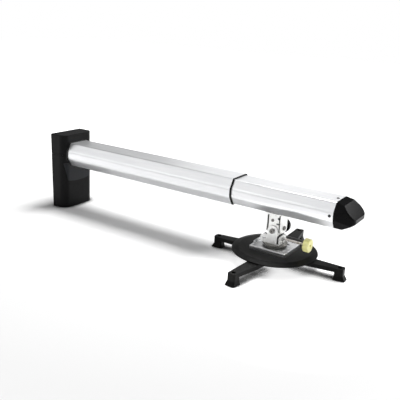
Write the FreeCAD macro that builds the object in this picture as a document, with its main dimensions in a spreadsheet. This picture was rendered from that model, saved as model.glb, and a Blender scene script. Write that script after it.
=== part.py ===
"""Projector wall mount: a telescoping boom on a covered wall bracket, with a
roll, tilt and swivel head that carries a round plate and four reach arms.

Frame: millimetres, +X out from the wall along the boom, +Z up. The origin is
on the wall, at the centre of the four wall holes.
"""
import FreeCAD, Part
import math
import os
import Sketcher

from FreeCAD import Rotation, Vector

os.makedirs("parts", exist_ok=True)
doc = FreeCAD.newDocument("projector_wall_mount")

# Driving dimensions, in millimetres

SIZES = {
    # Wall plate
    "plate_width": 104,
    "plate_room": 9,
    "plate_thick": 4,
    "plate_corner": 6,
    "wall_hole_across": 70,
    "wall_hole_inset": 8,
    "wall_hole_radius": 4.5,
    "tab_width": 60,
    "tab_reach": 16,
    # Height of the boom's centre line above the origin
    "boom_rise": 53,
    # Boom section, half sizes of the outer tube
    "tube_high": 34,
    "tube_wide": 46.5,
    "tube_flat": 31.5,
    "tube_side": 10,
    "tube_wall": 2,
    "tube_corner": 4,
    "tube_side_corner": 18,
    # Boom lengths
    "tube_start": 8,
    "outer_length": 609.5,
    "slide_gap": 1,
    "inner_wall": 2.5,
    "inner_overlap": 293.5,
    "inner_show": 266.5,
    # Mouth bush and tail glide
    "bush_lip": 3.5,
    "bush_sleeve": 40,
    "bush_wall": 0.6,
    "bush_fit": 0.1,
    "glide_clear": 0.3,
    "glide_flange": 5,
    "glide_plug": 18,
    "glide_rim": 9,
    # Bracket that holds the boom
    "cheek_thick": 4,
    "cheek_clear": 0.2,
    "cheek_depth": 41,
    "cheek_foot_depth": 20,
    "cheek_drop": 120,
    "cheek_over": 8,
    "web_thick": 3,
    "shelf_thick": 4,
    "boom_bolt_radius": 3,
    "boom_bolt_first": 20,
    "boom_bolt_step": 16,
    # Covers
    "cover_width": 119,
    "cover_height": 224,
    "cover_top_depth": 54,
    "cover_foot_depth": 49,
    "cover_top_corner": 20,
    "cover_foot_corner": 21,
    "cover_wall": 2.5,
    "cover_edge": 2,
    "collar_wall": 2.6,
    "collar_depth": 9,
    "collar_proud": 1.2,
    "seam_gap": 0.8,
    "cover_screw_radius": 1.75,
    "cover_screw_half": 21,
    "cover_boss_radius": 5,
    "hook_width": 12,
    "hook_reach": 7,
    "hook_clear": 0.2,
    "bib_thick": 1.6,
    "bib_top": 26,
    "bib_drop": 85,
    "bib_top_half": 56,
    "bib_foot_half": 44,
    "bib_bow": 5,
    # End cap
    "cap_screw_radius": 2,
    "cap_length": 48.3,
    "cap_skirt": 16,
    "cap_fit": 0.15,
    "cap_brow_reach": 19.7,
    "cap_brow_drop": 5,
    "cap_lip_back": 2,
    "cap_lip_rise": 0.3,
    "cap_lip_high": 2,
    "cap_chin_drop": 12,
    "cap_jaw_reach": 19,
    "cap_jaw_rise": 0.6,
    "cap_side_reach": 38,
    "cap_side_in": 3.2,
    "cap_nose_half": 24.3,
    "cap_nose_corner": 16,
    "cap_soft_edge": 2.5,
    "cap_core": 9.6,
    "cap_wall": 3,
    # Head centre line and yoke
    "head_past": 112.5,
    "yoke_half": 20,
    "yoke_thick": 3,
    "yoke_ear_half": 17.5,
    "yoke_web_half": 30,
    "yoke_ear_below": 11.5,
    "yoke_corner": 8,
    "head_screw_x": 11,
    "head_screw_y": 24,
    "head_screw_radius": 2.5,
    "nut_plate_thick": 5,
    # Roll and tilt axes, below the boom's centre line
    "roll_drop": 72.5,
    "tilt_below": 6.5,
    "roll_pin_radius": 4,
    "tilt_pin_radius": 4,
    "pin_clear": 0.08,
    # Cross block
    "block_half_x": 14,
    "block_half_y": 17.3,
    "block_wall": 3,
    "block_clear": 3.5,
    "block_foot": 12,
    "notch_in": 3.6,
    "notch_top": 5.8,
    "notch_foot": 11.5,
    "low_notch_in": 6.5,
    "low_notch_top": 21,
    "low_notch_foot": 25,
    "fork_half_x": 6,
    "fork_inner": 6.6,
    "fork_thick": 3,
    "fork_below": 5,
    "tie_bolt_radius": 2.5,
    "tie_bolt_back": 3,
    "tie_bolt_rise": 19.6,
    # Tilt bracket
    "ear_gap": 0.5,
    "ear_thick": 3,
    "ear_half": 13.5,
    "base_below": 12.5,
    "base_thick": 3,
    "washer_thick": 1.2,
    "flat_clear": 0.1,
    "rivet_radius": 2,
    "rivet_step": 12,
    "end_tab_rise": 22,
    "end_tab_corner": 7,
    "lobe_back": 21.5,
    "lobe_radius": 9.8,
    # Screw that sets the tilt
    "rod_below": 21.5,
    "rod_radius": 3,
    "rod_clear": 0.06,
    "rod_tail": 9,
    "rod_nut_thick": 3,
    "collar_radius": 5.5,
    "collar_thick": 4,
    "collar_clear": 0.3,
    "cross_pin_radius": 5,
    "cross_pin_slot": 1.2,
    "trunnion_radius": 5.5,
    "trunnion_pin": 2.5,
    "trunnion_clear": 0.3,
    "knob_start": 78,
    "knob_length": 14.5,
    "knob_radius": 16.6,
    "knob_flute_radius": 9,
    "knob_flute_depth": 1.6,
    "knob_edge": 1.6,
    "knob_dish": 2,
    # Clamp knob of the tilt axis
    "lock_start": 34,
    "lock_radius": 19.3,
    "lock_thick": 9,
    "lock_rim": 3.6,
    "lock_hub_radius": 8,
    "lock_sunk": 1.5,
    # Swivel
    "turn_radius": 31,
    "turn_thick": 3,
    "ring_radius": 27,
    "ring_thick": 4,
    "swivel_radius": 4,
    "swivel_head_radius": 8,
    "swivel_head_thick": 2,
    "swivel_nut_radius": 7.4,
    "swivel_nut_thick": 5,
    "swivel_washer_radius": 9.5,
    # Slide plate on the disc
    "tray_length": 96,
    "tray_width": 88,
    "tray_thick": 2.5,
    "tray_high": 9,
    "tray_corner": 2,
    "tray_edge": 1.5,
    "tray_lip": 6,
    "tray_lip_half": 26,
    "latch_hole_x": 27.7,
    "latch_hole_y": 18.5,
    "latch_hole_radius": 3.5,
    "lip_slot_across": 14,
    "lip_slot_half": 5,
    "lip_slot_low": 1.2,
    "lip_slot_high": 3.6,
    "tray_screw_x": 36,
    "tray_screw_y": 32,
    "tray_screw_radius": 2,
    "tray_spacer_radius": 5,
    # Disc
    "disc_radius": 106.5,
    "disc_flat_radius": 90,
    "disc_thick": 3,
    "disc_slope": 4,
    "disc_lip": 2.5,
    "boss_radius": 13,
    "stud_circle": 80,
    # Arms
    "arm_gap": 0.5,
    "arm_thick": 10,
    "arm_root_half": 16.5,
    "arm_tip_half": 10.8,
    "arm_tail": 39,
    "arm_tail_radius": 16,
    "arm_straight": 24,
    "arm_span": 96,
    "arm_high": 29,
    "arm_neck_radius": 4,
    "foot_corner": 4,
    "foot_flare_high": 11,
    "foot_flare_out": 5.5,
    "foot_flare_side": 2.5,
    "slot_in": 31,
    "slot_out": 21,
    "slot_half": 3.4,
    "stud_radius": 3,
    "stud_washer_radius": 7,
    "foot_hole_radius": 2.3,
    "foot_bore_radius": 5,
    "foot_bore_depth": 4,
    "front_arm_out": 1.3,
    "front_arm_turn": -7,
    "outer_arm_out": -6.9,
    "outer_arm_turn": 3.5,
    "back_arm_out": -3.3,
    "back_arm_turn": 7.5,
    "wall_arm_out": -18,
    "wall_arm_turn": 4.5,
}

sheet = doc.addObject("Spreadsheet::Sheet", "Sizes")
for row, (name, number) in enumerate(SIZES.items(), 1):
    sheet.set(f"A{row}", name)
    sheet.set(f"B{row}", str(number))
    sheet.setAlias(f"B{row}", name)
doc.recompute()


# Sizes that remember the formula they come from

class Size:
    """A number together with the sheet formula that gives it."""

    def __init__(self, value, text):
        self.value = value
        self.text = text

    def __add__(self, other):
        other = as_size(other)
        return Size(self.value + other.value, f"({self.text} + {other.text})")

    def __sub__(self, other):
        other = as_size(other)
        return Size(self.value - other.value, f"({self.text} - {other.text})")

    def __mul__(self, other):
        other = as_size(other)
        return Size(self.value * other.value, f"({self.text} * {other.text})")

    def __truediv__(self, other):
        other = as_size(other)
        return Size(self.value / other.value, f"({self.text} / {other.text})")

    def __neg__(self):
        return Size(-self.value, f"(0 - {self.text})")

    __radd__ = __add__
    __rmul__ = __mul__

    def __rsub__(self, other):
        return as_size(other) - self


def as_size(thing):
    return thing if isinstance(thing, Size) else Size(float(thing), f"({thing})")


def root(size):
    return Size(math.sqrt(size.value), f"sqrt({size.text})")


def size(name):
    return Size(float(sheet.get(name)), f"Sizes.{name}")


def bind(thing, prop, amount):
    thing.setExpression(prop, as_size(amount).text)


# Drawing and solid helpers

def new_body(label):
    body = doc.addObject("PartDesign::Body", label)
    body.Label = label
    doc.recompute()
    return body


def drawing(body, role, away=0):
    """A sketch on the XY, XZ or YZ plane, moved along +Z, +Y or +X by away."""
    plane = [item for item in body.Origin.OriginFeatures if item.Role == role + "_Plane"][0]
    sketch = body.newObject("Sketcher::SketchObject", body.Name + "_drawing")
    sketch.AttachmentSupport = [(plane, "")]
    sketch.MapMode = "FlatFace"
    away = as_size(away)
    bind(sketch, "AttachmentOffset.Base.z", -away if role == "XZ" else away)
    return sketch


def hold(sketch, edge, end, point):
    """Fix one end of an edge at a point of two sizes."""
    for kind, amount in zip(("DistanceX", "DistanceY"), point):
        amount = as_size(amount)
        number = sketch.addConstraint(Sketcher.Constraint(kind, edge, end, amount.value))
        bind(sketch, f"Constraints[{number}]", amount)


def outline(sketch, corners):
    """A closed line through corners. A corner's third value makes the edge that
    leaves it an arc of that radius, turning left where the fourth value is 1
    and right where it is -1."""
    ends = []
    first = sketch.GeometryCount
    for here, there in zip(corners, corners[1:] + corners[:1]):
        start = Vector(as_size(here[0]).value, as_size(here[1]).value, 0)
        finish = Vector(as_size(there[0]).value, as_size(there[1]).value, 0)
        if len(here) == 2:
            sketch.addGeometry(Part.LineSegment(start, finish), False)
            ends.append((1, 2))
            continue
        radius = as_size(here[2])
        turn = here[3]
        chord = finish - start
        left = Vector(-chord.y, chord.x, 0).normalize()
        height = math.sqrt(max(radius.value ** 2 - (chord.Length / 2) ** 2, 0))
        centre = (start + finish) / 2 + left * (height * turn)
        begin, stop = (start, finish) if turn == 1 else (finish, start)
        circle = Part.Circle(centre, Vector(0, 0, 1), radius.value)
        angles = [math.atan2(p.y - centre.y, p.x - centre.x) for p in (begin, stop)]
        edge = sketch.addGeometry(Part.ArcOfCircle(circle, angles[0], angles[1]), False)
        ends.append((1, 2) if turn == 1 else (2, 1))
        number = sketch.addConstraint(Sketcher.Constraint("Radius", edge, radius.value))
        bind(sketch, f"Constraints[{number}]", radius)
    count = len(corners)
    for index, corner in enumerate(corners):
        after = (index + 1) % count
        sketch.addConstraint(Sketcher.Constraint(
            "Coincident", first + index, ends[index][1], first + after, ends[after][0]))
        hold(sketch, first + index, ends[index][0], corner[:2])


def box_outline(sketch, left, right, low, high):
    outline(sketch, [(left, low), (right, low), (right, high), (left, high)])


def ring_outline(sketch, across, up, radius):
    across, up, radius = as_size(across), as_size(up), as_size(radius)
    circle = Part.Circle(Vector(across.value, up.value, 0), Vector(0, 0, 1), radius.value)
    edge = sketch.addGeometry(circle, False)
    hold(sketch, edge, 3, (across, up))
    number = sketch.addConstraint(Sketcher.Constraint("Radius", edge, radius.value))
    bind(sketch, f"Constraints[{number}]", radius)


def pad(body, sketch, length, both=False, back=False):
    """Thicken a drawing along its normal, or to both sides, or backwards."""
    feature = body.newObject("PartDesign::Pad", body.Name + "_pad")
    feature.Profile = sketch
    bind(feature, "Length", length)
    feature.Midplane = both
    feature.Reversed = back
    doc.recompute()
    return feature


def cut(body, sketch, length, both=False, forward=False):
    """Cut a drawing out of a body, against its normal, to both sides or forward."""
    before = body.Shape.Volume
    feature = body.newObject("PartDesign::Pocket", body.Name + "_cut")
    feature.Profile = sketch
    bind(feature, "Length", length)
    feature.Midplane = both
    feature.Reversed = forward
    doc.recompute()
    if body.Shape.Volume > before - 1e-6:
        raise RuntimeError(f"{body.Label}: {feature.Name} cuts nothing")
    return feature


def turn(body, sketch, axis="V_Axis"):
    """Revolve a drawing about its own upright or level axis."""
    feature = body.newObject("PartDesign::Revolution", body.Name + "_turned")
    feature.Profile = sketch
    feature.ReferenceAxis = (sketch, [axis])
    feature.Angle = 360
    doc.recompute()
    return feature


def loft(body, sketches, cutting=False):
    """Join drawings with straight sides, as material or as a cavity."""
    kind = "PartDesign::SubtractiveLoft" if cutting else "PartDesign::AdditiveLoft"
    feature = body.newObject(kind, body.Name + "_loft")
    feature.Profile = sketches[0]
    feature.Sections = sketches[1:]
    feature.Ruled = True
    doc.recompute()
    return feature


def ease(body, radius, test, kind="Fillet"):
    """Round or bevel the edges of a body that pass a test."""
    tip = body.Tip
    names = [f"Edge{n}" for n, edge in enumerate(tip.Shape.Edges, 1) if test(edge)]
    feature = body.newObject(f"PartDesign::{kind}", body.Name + "_" + kind.lower())
    feature.Base = (tip, names)
    bind(feature, "Radius" if kind == "Fillet" else "Size", radius)
    doc.recompute()
    return feature


def near(value, amount, slack=0.01):
    return abs(value - as_size(amount).value) < slack


def runs(edge, letter):
    """Whether an edge is straight and parallel to the x, y or z axis."""
    if len(edge.Vertexes) != 2:
        return False
    step = edge.Vertexes[1].Point - edge.Vertexes[0].Point
    along = abs(getattr(step, letter))
    return near(edge.Length, step.Length) and near(along, step.Length, 1e-4)


def middle(edge):
    return edge.CenterOfMass


def primitive(kind, label, **props):
    thing = doc.addObject("Part::" + kind, label)
    for prop, amount in props.items():
        bind(thing, prop, amount)
    return thing


TURNS = {
    "+x": Rotation(Vector(0, 1, 0), 90),
    "-x": Rotation(Vector(0, 1, 0), -90),
    "+y": Rotation(Vector(1, 0, 0), -90),
    "-y": Rotation(Vector(1, 0, 0), 90),
    "+z": Rotation(),
    "-z": Rotation(Vector(1, 0, 0), 180),
}


def place(thing, point, towards="+z"):
    """Put a thing at a point of three sizes, its own +Z turned to a direction."""
    thing.Placement = FreeCAD.Placement(Vector(), TURNS[towards])
    for letter, amount in zip("xyz", point):
        bind(thing, f"Placement.Base.{letter}", amount)
    return thing


def joined(label, things):
    whole = doc.addObject("Part::MultiFuse", label)
    whole.Shapes = things
    return whole


def less(label, base, tools):
    """A solid with others cut out of it."""
    tool = tools[0]
    if len(tools) > 1:
        tool = joined(label + "_tools", tools)
    result = doc.addObject("Part::Cut", label)
    result.Base = base
    result.Tool = tool
    return result


def group(label, things):
    """Several like pieces that share one node."""
    whole = doc.addObject("Part::Compound", label)
    whole.Links = things
    return whole


def screw(label, shank, length, head, thick, hexagon=False, socket=True):
    """A screw along its own +Z, the underside of its head at 0, the head below."""
    stem = primitive("Cylinder", label + "_stem", Radius=shank, Height=length)
    if hexagon:
        top = primitive("Prism", label + "_head", Circumradius=head, Height=thick)
    else:
        top = primitive("Cylinder", label + "_head", Radius=head, Height=thick)
    place(top, (0, 0, -as_size(thick)))
    solid = joined(label + "_solid", [stem, top])
    if hexagon or not socket:
        solid.Label = label
        return solid
    key = primitive("Prism", label + "_key", Circumradius=as_size(head) * 0.5,
                    Height=as_size(thick) * 0.6)
    place(key, (0, 0, -as_size(thick)))
    return less(label, solid, [key])


def nut(label, bore, across, thick):
    """A hexagon nut along its own +Z, from 0 up."""
    block = primitive("Prism", label + "_block", Circumradius=across, Height=thick)
    hole = primitive("Cylinder", label + "_bore", Radius=bore, Height=thick)
    return less(label, block, [hole])


def washer(label, bore, rim, thick):
    disc = primitive("Cylinder", label + "_disc", Radius=rim, Height=thick)
    hole = primitive("Cylinder", label + "_bore", Radius=bore, Height=thick)
    return less(label, disc, [hole])


# Shared places

rise = size("boom_rise")
plate_high = size("cover_height") - size("plate_room") * 2
tube_high = size("tube_high")
tube_wide = size("tube_wide")
tube_flat = size("tube_flat")
tube_side = size("tube_side")
tube_wall = size("tube_wall")
inner_inset = tube_wall + size("slide_gap")
inner_bore = inner_inset + size("inner_wall")
outer_end = size("tube_start") + size("outer_length")
inner_start = outer_end - size("inner_overlap")
inner_end = outer_end + size("inner_show")
head_x = outer_end + size("head_past")
inner_foot = rise - (tube_high - inner_inset)
roll_z = rise - size("roll_drop")
tilt_z = roll_z - size("tilt_below")
rod_z = tilt_z - size("rod_below")
base_z = rod_z - size("base_below")
ear_inner = size("block_half_y") + size("ear_gap")
ear_outer = ear_inner + size("ear_thick")
turn_foot = base_z - size("turn_thick")
tray_top = turn_foot - size("ring_thick")
disc_top = tray_top - size("tray_high")
disc_under = disc_top - size("disc_thick")
rim_foot = disc_top - size("disc_slope") - size("disc_lip")
arm_top = rim_foot - size("arm_gap")
cover_half = size("cover_width") / 2
cover_foot = -(size("cover_height") / 2)
cheek_inner = tube_wide + size("cheek_clear")
cheek_outer = cheek_inner + size("cheek_thick")
cover_screw_x = size("plate_thick") + size("tab_reach") / 2
lobe_x = head_x - size("lobe_back")
tie_x = head_x - size("tie_bolt_back")
tie_z = roll_z + size("tie_bolt_rise")
boss_foot = arm_top + size("flat_clear")
lock_y = size("lock_start")


def boom_section(inset):
    """Corners of the boom's eight-sided section, moved in by inset, across and up."""
    run = tube_wide - tube_flat
    drop = tube_high - tube_side
    slant = root(run * run + drop * drop)
    flat = tube_flat - as_size(inset) * (slant - run) / drop
    side = tube_side - as_size(inset) * (slant - drop) / run
    high = tube_high - inset
    wide = tube_wide - inset
    right = [(flat, rise + high), (wide, rise + side), (wide, rise - side), (flat, rise - high)]
    left = [(-across, up) for across, up in reversed(right)]
    return right[::-1] + left[::-1]


def section_drawing(body, inset, away):
    sketch = drawing(body, "YZ", away)
    outline(sketch, boom_section(inset))
    return sketch


def wall_plate():
    """Steel plate against the wall, with a folded tab for the cover screws."""
    body = new_body("wall_plate")
    half = size("plate_width") / 2
    tall = plate_high / 2
    thick = size("plate_thick")
    face = drawing(body, "YZ")
    box_outline(face, -half, half, -tall, tall)
    pad(body, face, thick)
    ease(body, size("plate_corner"), lambda edge: runs(edge, "x"))
    tab = drawing(body, "YZ", thick)
    wide = size("tab_width") / 2
    box_outline(tab, -wide, wide, -tall, -tall + thick / 2)
    pad(body, tab, size("tab_reach"))
    holes = drawing(body, "YZ", thick)
    for side in (-1, 1):
        for level in (-1, 1):
            ring_outline(holes, size("wall_hole_across") / 2 * side,
                         (tall - size("wall_hole_inset")) * level, size("wall_hole_radius"))
    cut(body, holes, thick * 3)
    tapped = drawing(body, "YZ", thick)
    for point in bracket_screw_points():
        ring_outline(tapped, point[0], point[1], size("boom_bolt_radius"))
    cut(body, tapped, thick * 3)
    fixings = drawing(body, "XY", -tall)
    for across in cover_screw_places():
        ring_outline(fixings, cover_screw_x, across, size("cover_screw_radius"))
    cut(body, fixings, thick, forward=True)
    return body


def boom_bracket():
    """Welded steel bracket: back web, two tapered cheeks and a shelf for the tube."""
    body = new_body("boom_bracket")
    back = size("plate_thick")
    front = back + size("cheek_depth")
    top = rise + size("tube_side") + size("cheek_over")
    foot = rise - size("cheek_drop")
    side = drawing(body, "XZ")
    shelf_z = rise - tube_high - size("shelf_thick")
    outline(side, [(back, foot), (back + size("cheek_foot_depth"), foot), (front, shelf_z - 12),
                   (front, top), (back, top)])
    pad(body, side, cheek_outer * 2, both=True)
    ease(body, size("plate_corner"), lambda edge: runs(edge, "y") and not near(middle(edge).x, back))
    hollow = drawing(body, "XZ")
    web = back + size("web_thick")
    box_outline(hollow, web, front + 1, shelf_z + size("shelf_thick"), top + 1)
    cut(body, hollow, cheek_inner * 2, both=True)
    below = drawing(body, "XZ")
    box_outline(below, web, front + 1, foot - 1, shelf_z)
    cut(body, below, cheek_inner * 2, both=True)
    bolts = drawing(body, "XZ")
    for number in range(2):
        ring_outline(bolts, size("boom_bolt_first") + size("boom_bolt_step") * number, rise,
                     size("boom_bolt_radius") + size("pin_clear"))
    cut(body, bolts, cheek_outer * 2 + 2, both=True)
    fixings = drawing(body, "YZ", web)
    for point in bracket_screw_points():
        ring_outline(fixings, point[0], point[1], size("boom_bolt_radius") + size("pin_clear"))
    cut(body, fixings, size("web_thick") * 2)
    return body


def bracket_screw_points():
    """Across and up of the four screws that hold the bracket to the wall plate."""
    across = cheek_inner - 14
    high = rise - tube_high - size("shelf_thick") - 12
    low = rise - size("cheek_drop") + 12
    return [(-across, high), (across, high), (-across, low), (across, low)]


def bracket_screws():
    web = size("plate_thick") + size("web_thick")
    radius = size("boom_bolt_radius")
    things = []
    for number, point in enumerate(bracket_screw_points()):
        one = screw(f"bracket_screw_{number}", radius, web - 0.5, radius * 1.8, radius)
        things.append(place(one, (web, point[0], point[1]), "-x"))
    return group("bracket_screws", things)


def boom_bolts():
    """Two long bolts across the cheeks and the tube, with washers and nuts."""
    radius = size("boom_bolt_radius")
    things = []
    for number in range(2):
        along = size("boom_bolt_first") + size("boom_bolt_step") * number
        span = cheek_outer * 2
        one = screw(f"boom_bolt_{number}", radius, span + radius * 1.4, radius * 1.8, radius * 0.9,
                    hexagon=True)
        things.append(place(one, (along, -cheek_outer, rise), "+y"))
        back = nut(f"boom_nut_{number}", radius, radius * 1.8, radius * 1.2)
        things.append(place(back, (along, cheek_outer, rise), "+y"))
    return group("boom_bolts", things)


def round_section(body, inset):
    """Round the boom's long corners: top and bottom ones a little, side ones more."""
    side = (tube_wide - inset).value - 0.01
    ease(body, size("tube_corner"), lambda edge: runs(edge, "x") and abs(middle(edge).y) < side)
    ease(body, size("tube_side_corner"),
         lambda edge: runs(edge, "x") and abs(middle(edge).y) > side)


def tube(label, inset, wall, start, length):
    """An eight-sided aluminium extrusion, hollow from end to end."""
    body = new_body(label)
    pad(body, section_drawing(body, inset, start), length)
    round_section(body, inset)
    bore = section_drawing(body, as_size(inset) + wall, start)
    cut(body, bore, as_size(length) + 2, forward=True)
    inner_wide = tube_wide - inset - wall
    inner_high = tube_high - inset - wall

    def inside(edge):
        spot = middle(edge)
        return (runs(edge, "x") and abs(spot.y) < inner_wide.value + 0.01
                and abs(spot.z - rise.value) < inner_high.value + 0.01
                and near(edge.Length, length) and not on_outside(spot, inset))

    ease(body, size("tube_corner") / 2, inside)
    return body


def on_outside(spot, inset):
    """Whether a point lies outside the section that is moved in by inset and a little."""
    corners = [(across.value, up.value) for across, up in boom_section(as_size(inset) + 1)]
    inside = True
    for here, there in zip(corners, corners[1:] + corners[:1]):
        side = (there[0] - here[0]) * (spot.z - here[1]) - (there[1] - here[1]) * (spot.y - here[0])
        inside = inside and side > 0
    return not inside


def outer_tube():
    body = tube("outer_tube", 0, tube_wall, size("tube_start"), size("outer_length"))
    bolts = drawing(body, "XZ")
    for number in range(2):
        ring_outline(bolts, size("boom_bolt_first") + size("boom_bolt_step") * number, rise,
                     size("boom_bolt_radius") + size("pin_clear"))
    cut(body, bolts, tube_wide * 2 + 2, both=True)
    return body


def mouth_bush():
    """Black bush pressed into the outer tube's mouth; its lip shows as the seam."""
    body = new_body("mouth_bush")
    lip = section_drawing(body, 0, outer_end)
    pad(body, lip, size("bush_lip"))
    round_section(body, 0)
    fit = tube_wall + size("bush_fit")
    sleeve = section_drawing(body, fit, outer_end)
    pad(body, sleeve, size("bush_sleeve"), back=True)
    ease(body, size("tube_corner") / 2,
         lambda edge: runs(edge, "x") and near(edge.Length, size("bush_sleeve")))
    bore = section_drawing(body, fit + size("bush_wall"), outer_end - size("bush_sleeve") - 1)
    cut(body, bore, size("bush_sleeve") + size("bush_lip") + 2, forward=True)
    return body


def tail_glide():
    """Plastic glide plugged into the inner tube's back end."""
    body = new_body("tail_glide")
    start = inner_start - size("glide_flange")
    flange = section_drawing(body, tube_wall + size("glide_clear"), start)
    pad(body, flange, size("glide_flange"))
    ease(body, size("tube_corner"), lambda edge: runs(edge, "x"))
    plug = section_drawing(body, inner_bore + size("bush_fit"), inner_start)
    pad(body, plug, size("glide_plug"))
    ease(body, size("tube_corner") / 2,
         lambda edge: runs(edge, "x") and near(edge.Length, size("glide_plug")))
    bore = section_drawing(body, inner_bore + size("glide_rim"), start - 1)
    cut(body, bore, size("glide_flange") + size("glide_plug") + 2, forward=True)
    return body


def inner_tube():
    body = tube("inner_tube", inner_inset, size("inner_wall"), inner_start,
                size("inner_overlap") + size("inner_show"))
    holes = drawing(body, "XY", rise)
    for point in head_screw_points():
        ring_outline(holes, point[0], point[1], size("head_screw_radius") + size("pin_clear"))
    cut(body, holes, tube_high + 1)
    sides = drawing(body, "XZ")
    ring_outline(sides, cap_screw_x(), rise, size("cap_screw_radius") + size("pin_clear"))
    cut(body, sides, tube_wide * 2 + 2, both=True)
    lid = drawing(body, "XY", rise)
    ring_outline(lid, cap_screw_x(), 0, size("cap_screw_radius") + size("pin_clear"))
    cut(body, lid, tube_high + 1, forward=True)
    return body


def head_screw_points():
    """Along and across of the four screws that hold the yoke to the boom."""
    return [(head_x + size("head_screw_x") * a, size("head_screw_y") * b)
            for a in (-1, 1) for b in (-1, 1)]


def cap_screw_x():
    return inner_end - size("cap_skirt") / 2


def end_cap():
    """Moulded nose with a slanted brow over a blunt lip, and a skirt inside the tube."""
    body = new_body("end_cap")
    length = size("cap_length")
    pad(body, section_drawing(body, inner_inset, inner_end), length)
    round_section(body, inner_inset)
    high = tube_high - inner_inset
    wide = tube_wide - inner_inset
    tip = inner_end + length
    beyond = tip + length
    brow = inner_end + size("cap_brow_reach")
    lip = rise + size("cap_lip_rise")
    side = drawing(body, "XZ")
    outline(side, [(inner_end, rise + high), (brow, rise + high - size("cap_brow_drop")),
                   (tip - size("cap_lip_back"), lip), (tip, lip - size("cap_lip_high")),
                   (beyond, lip - size("cap_lip_high")), (beyond, rise + high * 2),
                   (inner_end, rise + high * 2)])
    outline(side, [(inner_end, rise - high),
                   (inner_end + size("cap_jaw_reach"), rise - high + size("cap_jaw_rise")),
                   (tip, rise - size("cap_chin_drop")), (beyond, rise - size("cap_chin_drop")),
                   (beyond, rise - high * 2), (inner_end, rise - high * 2)])
    cut(body, side, wide * 2 + 2, both=True)
    plan = drawing(body, "XY", rise)
    for hand in (-1, 1):
        outline(plan, [(inner_end, wide * hand),
                       (inner_end + size("cap_side_reach"), (wide - size("cap_side_in")) * hand,
                        size("cap_nose_corner"), -hand),
                       (tip, size("cap_nose_half") * hand), (beyond, size("cap_nose_half") * hand),
                       (beyond, wide * 2 * hand), (inner_end, wide * 2 * hand)])
    cut(body, plan, high * 4, both=True)
    skirt = section_drawing(body, inner_bore + size("cap_fit"), inner_end)
    pad(body, skirt, size("cap_skirt"), back=True)
    core = section_drawing(body, inner_bore + size("cap_wall"), inner_end - size("cap_skirt") - 1)
    cut(body, core, size("cap_skirt") + 1 + size("cap_core"), forward=True)
    sides = drawing(body, "XZ")
    ring_outline(sides, cap_screw_x(), rise, size("cap_screw_radius"))
    cut(body, sides, wide * 2 + 2, both=True)
    lid = drawing(body, "XY", rise)
    ring_outline(lid, cap_screw_x(), 0, size("cap_screw_radius"))
    cut(body, lid, high + 1, forward=True)
    nose = size("cap_side_reach") - size("cap_brow_reach") / 10
    ease(body, size("cap_soft_edge"), lambda edge: on_nose(middle(edge), brow, lip, inner_end + nose))
    return body


def on_nose(spot, brow, lip, nose):
    """Whether an edge of the cap lies on its brow or round its blunt nose."""
    on_brow = spot.x > brow.value - 1 and spot.z > lip.value - 1
    return on_brow or spot.x > nose.value


def cap_screws():
    """Three small screws that hold the nose in the tube."""
    radius = size("cap_screw_radius")
    wide = tube_wide - inner_inset
    high = tube_high - inner_inset
    reach = size("inner_wall") + size("cap_wall")
    spots = [((cap_screw_x(), -wide, rise), "+y"), ((cap_screw_x(), wide, rise), "-y"),
             ((cap_screw_x(), 0, rise + high), "-z")]
    things = []
    for number, (point, towards) in enumerate(spots):
        one = screw(f"cap_screw_{number}", radius, reach, radius * 1.7, radius * 0.5)
        things.append(place(one, point, towards))
    return group("cap_screws", things)


def nut_plate():
    """Tapped steel plate inside the boom, over the head's screws."""
    body = new_body("nut_plate")
    low = inner_foot + size("inner_wall")
    face = drawing(body, "XY", low)
    across = size("head_screw_y") + 6
    along = size("head_screw_x") + 8
    wide = boom_section(inner_bore + 0.5)[0][0]
    outline(face, [(head_x - along, -wide), (head_x + along, -wide), (head_x + along, wide),
                   (head_x - along, wide)])
    pad(body, face, size("nut_plate_thick"))
    holes = drawing(body, "XY", low)
    for point in head_screw_points():
        ring_outline(holes, point[0], point[1], size("head_screw_radius"))
    cut(body, holes, size("nut_plate_thick") * 2, forward=True)
    return body


def head_screws():
    radius = size("head_screw_radius")
    low = inner_foot - size("yoke_thick")
    length = size("yoke_thick") + size("inner_wall") + size("nut_plate_thick") + 1
    things = []
    for number, point in enumerate(head_screw_points()):
        one = screw(f"head_screw_{number}", radius, length, radius * 1.8, radius * 0.9)
        things.append(place(one, (point[0], point[1], low)))
    return group("head_screws", things)


def yoke():
    """Folded steel yoke under the boom, with an ear on each side of the roll axis."""
    body = new_body("yoke")
    half = size("yoke_half")
    thick = size("yoke_thick")
    web = drawing(body, "XY", inner_foot)
    wide = size("yoke_web_half")
    box_outline(web, head_x - half, head_x + half, -wide, wide)
    pad(body, web, thick, back=True)
    ease(body, size("yoke_corner") / 2, lambda edge: runs(edge, "z"))
    ear_foot = roll_z - size("yoke_ear_below")
    ears = drawing(body, "YZ", head_x)
    across = size("yoke_ear_half")
    box_outline(ears, -across, across, ear_foot, inner_foot - thick / 2)
    pad(body, ears, half * 2, both=True)
    ease(body, size("yoke_corner"), lambda edge: runs(edge, "x") and near(middle(edge).z, ear_foot))
    hollow = drawing(body, "XZ")
    box_outline(hollow, head_x - half + thick, head_x + half - thick, ear_foot - 1,
                inner_foot - thick)
    cut(body, hollow, across * 2 + 2, both=True)
    pins = drawing(body, "YZ", head_x)
    ring_outline(pins, 0, roll_z, size("roll_pin_radius") + size("pin_clear"))
    cut(body, pins, half * 2 + 2, both=True)
    holes = drawing(body, "XY", inner_foot)
    for point in head_screw_points():
        ring_outline(holes, point[0], point[1], size("head_screw_radius") + size("pin_clear"))
    cut(body, holes, thick * 2, both=True)
    return body


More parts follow.
